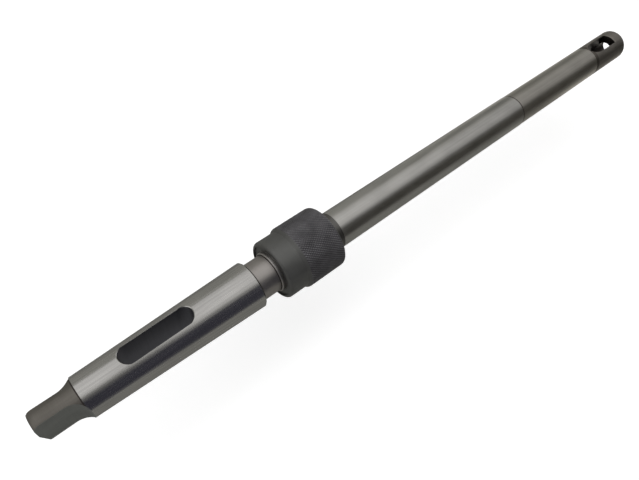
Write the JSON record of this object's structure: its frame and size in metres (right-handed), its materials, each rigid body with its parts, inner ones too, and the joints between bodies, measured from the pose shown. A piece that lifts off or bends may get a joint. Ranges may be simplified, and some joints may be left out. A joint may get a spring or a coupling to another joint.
{
  "type": "tool holder extension shaft",
  "caption": "Long turned tool holder shaft with a tanged taper shank and cross slot, a knurled collar on its seat, and a windowed socket in its tip.",
  "frame": {"origin": "on the centre line, in the plane of the shoulder at the taper's large end", "axes": "+X along the centre line to the tip, +Z out of the cross slot and the tip's window"},
  "size_m": [0.3116, 0.025, 0.025],
  "materials": {
    "ground_steel": "ground bright on the taper and shaft, turned grey on the tang",
    "blackened_steel": "blackened, satin, with a fine diamond knurl"
  },
  "bodies": {
    "root": {"extension_shaft": "ground_steel", "knurled_collar": "blackened_steel"}
  },
  "joints": []
}
